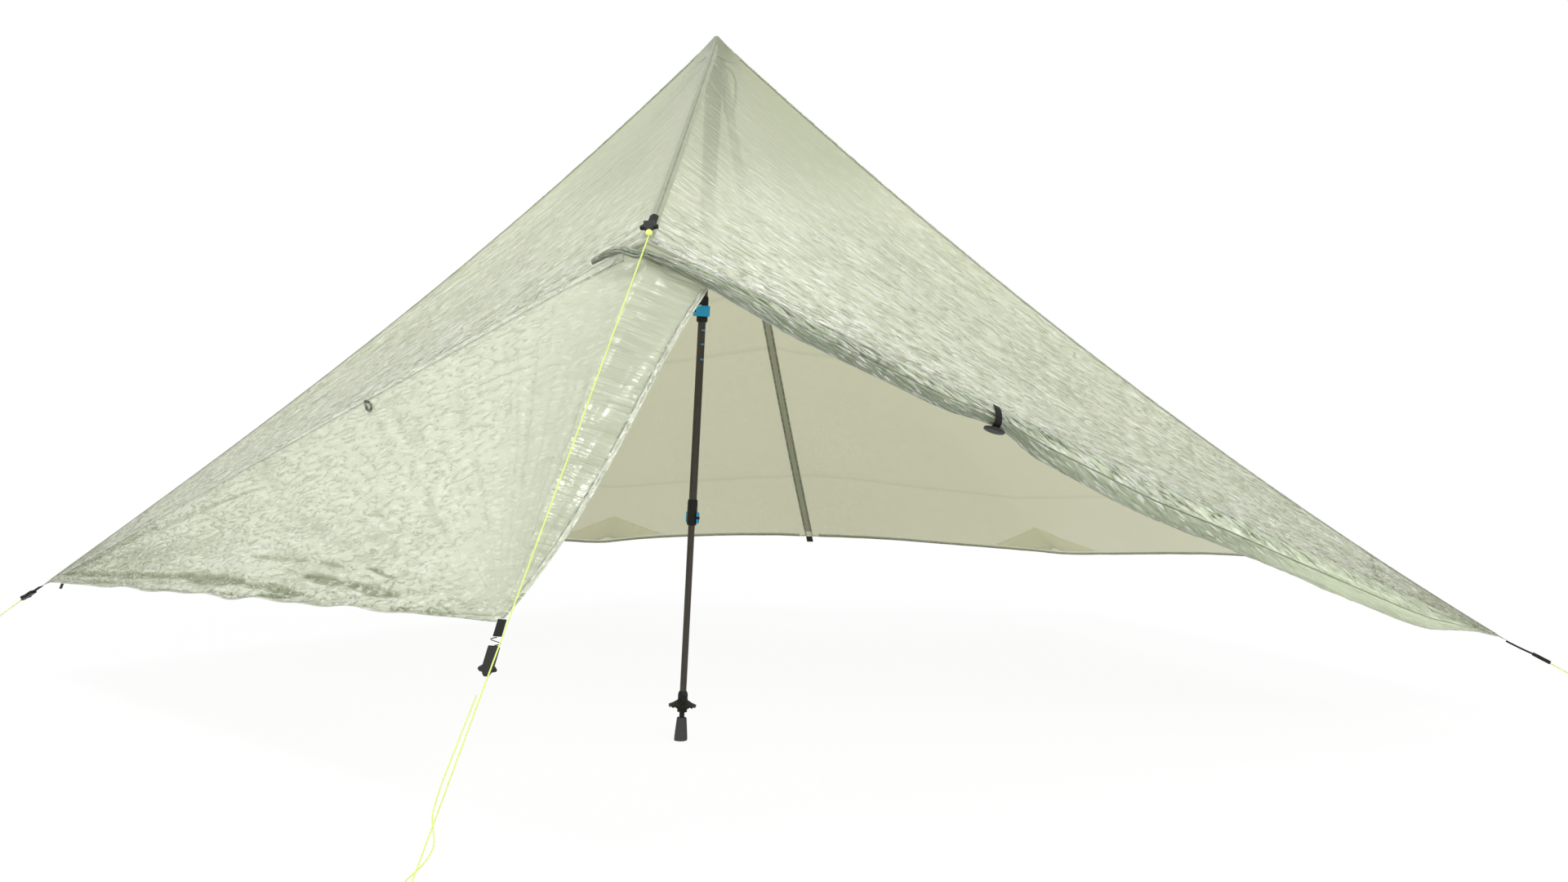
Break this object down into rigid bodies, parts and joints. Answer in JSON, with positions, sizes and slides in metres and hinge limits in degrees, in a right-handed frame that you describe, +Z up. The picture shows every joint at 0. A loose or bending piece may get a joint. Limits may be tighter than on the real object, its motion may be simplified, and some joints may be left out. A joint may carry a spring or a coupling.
{
  "type": "camping tarp",
  "caption": "Pyramid camping tarp with a front beak, one door closed and one rolled up, pitched on a telescopic trekking pole with taut guylines.",
  "frame": {"origin": "the middle of the pole's rubber foot, on the ground", "axes": "+X runs to the right corner and is the longest extent, +Y runs to the rear, +Z is up"},
  "size_m": [3.4672, 2.6198, 1.2548],
  "materials": {
    "fabric": "thin crinkled laminate, pale olive, translucent",
    "seam": "doubled laminate with tape, darker olive",
    "roll": "rolled laminate, many layers",
    "webbing": "black woven webbing",
    "cord": "braided lime-yellow cord",
    "black_plastic": "matte black moulded plastic",
    "blue_plastic": "bright blue moulded plastic",
    "tube": "dark anodised tube",
    "steel": "bright pin",
    "grip": "soft moulded grip",
    "foam": "closed-cell foam",
    "rubber": "black rubber foot"
  },
  "bodies": {
    "tarp": {"door_corner_webbing": "webbing", "door_guyline": "cord", "door_guyline_loop": "cord", "door_hem_tab": "webbing", "door_hook": "black_plastic", "door_linelock": "black_plastic", "extension_grip": "foam", "front_cord_knot": "cord", "front_guyline": "cord", "front_guyline_loop": "cord", "front_left_panel": "fabric", "front_linelock": "black_plastic", "front_ridge_seam": "seam", "front_right_panel": "fabric", "front_tieout_webbing": "webbing", "grip_cap": "black_plastic", "left_corner_patch": "seam", "left_corner_webbing": "webbing", "left_door_bottom_hem": "seam", "left_door_edge_hem": "seam", "left_door_panel": "fabric", "left_door_seam": "seam", "left_guyline": "cord", "left_guyline_loop": "cord", "left_linelock": "black_plastic", "left_rear_hem": "seam", "left_ridge_seam": "seam", "peak_cap": "seam", "pole_grip": "grip", "rear_left_corner_patch": "seam", "rear_left_panel": "fabric", "rear_ridge_seam": "seam", "rear_right_corner_patch": "seam", "rear_right_panel": "fabric", "rear_tieout": "webbing", "right_corner_patch": "seam", "right_corner_webbing": "webbing", "right_door_roll": "roll", "right_door_seam": "seam", "right_guyline": "cord", "right_guyline_loop": "cord", "right_linelock": "black_plastic", "right_rear_hem": "seam", "right_ridge_seam": "seam", "right_toggle_strap": "webbing", "upper_lever_pin": "steel", "upper_lock_collar": "black_plastic", "upper_shaft": "tube"},
    "middle_pole": {"middle_shaft": "tube", "lower_lock_collar": "black_plastic", "lower_lever_pin": "steel"},
    "lower_pole": {"lower_shaft": "tube", "pole_tip": "black_plastic"},
    "upper_lever": {"upper_lock_lever": "blue_plastic"},
    "lower_lever": {"lower_lock_lever": "blue_plastic"},
    "snow_basket": {"basket": "black_plastic"},
    "foot": {"rubber_foot": "rubber"},
    "strap_loop": {"wrist_strap": "webbing"},
    "toggle": {"right_toggle_disc": "black_plastic"},
    "elastic_loop": {"left_door_loop": "webbing"}
  },
  "joints": [
    {"name": "pole_middle_slide", "type": "slide", "parent": "tarp", "child": "middle_pole", "axis": [0.0419, 0.0718, 0.9965], "range_m": [-0.04, 0.3]},
    {"name": "pole_lower_slide", "type": "slide", "parent": "middle_pole", "child": "lower_pole", "axis": [0.0419, 0.0718, 0.9965], "range_m": [-0.03, 0.26]},
    {"name": "upper_lever_turn", "type": "hinge", "parent": "tarp", "child": "upper_lever", "pos_m": [0.01903, 0.05281, 0.7661], "axis": [-0.0419, -0.0718, -0.9965], "range_deg": [0, 110]},
    {"name": "lower_lever_turn", "type": "hinge", "parent": "middle_pole", "child": "lower_lever", "pos_m": [0.02801, 0.02346, 0.39852], "axis": [-0.0419, -0.0718, -0.9965], "range_deg": [0, 110]},
    {"name": "basket_turn", "type": "hinge", "parent": "lower_pole", "child": "snow_basket", "pos_m": [0.00252, 0.00431, 0.05979], "axis": [0.0419, 0.0718, 0.9965], "range_deg": [-180, 180]},
    {"name": "rubber_foot_pull", "type": "slide", "parent": "lower_pole", "child": "foot", "axis": [-0.0419, -0.0718, -0.9965], "range_m": [0, 0.04]},
    {"name": "wrist_strap_swing", "type": "hinge", "parent": "tarp", "child": "strap_loop", "pos_m": [0.06551, 0.08625, 1.19755], "axis": [0.0015, -0.9974, 0.0718], "range_deg": [0, 20]},
    {"name": "toggle_tilt", "type": "hinge", "parent": "tarp", "child": "toggle", "pos_m": [0.57175, -0.22496, 0.594], "axis": [0.7818, 0.4655, -0.4148], "range_deg": [-12, 25]},
    {"name": "left_loop_swing", "type": "hinge", "parent": "tarp", "child": "elastic_loop", "pos_m": [-0.51113, -0.19138, 0.61921], "axis": [-0.5491, 0.0294, -0.8353], "range_deg": [0, 70]}
  ]
}
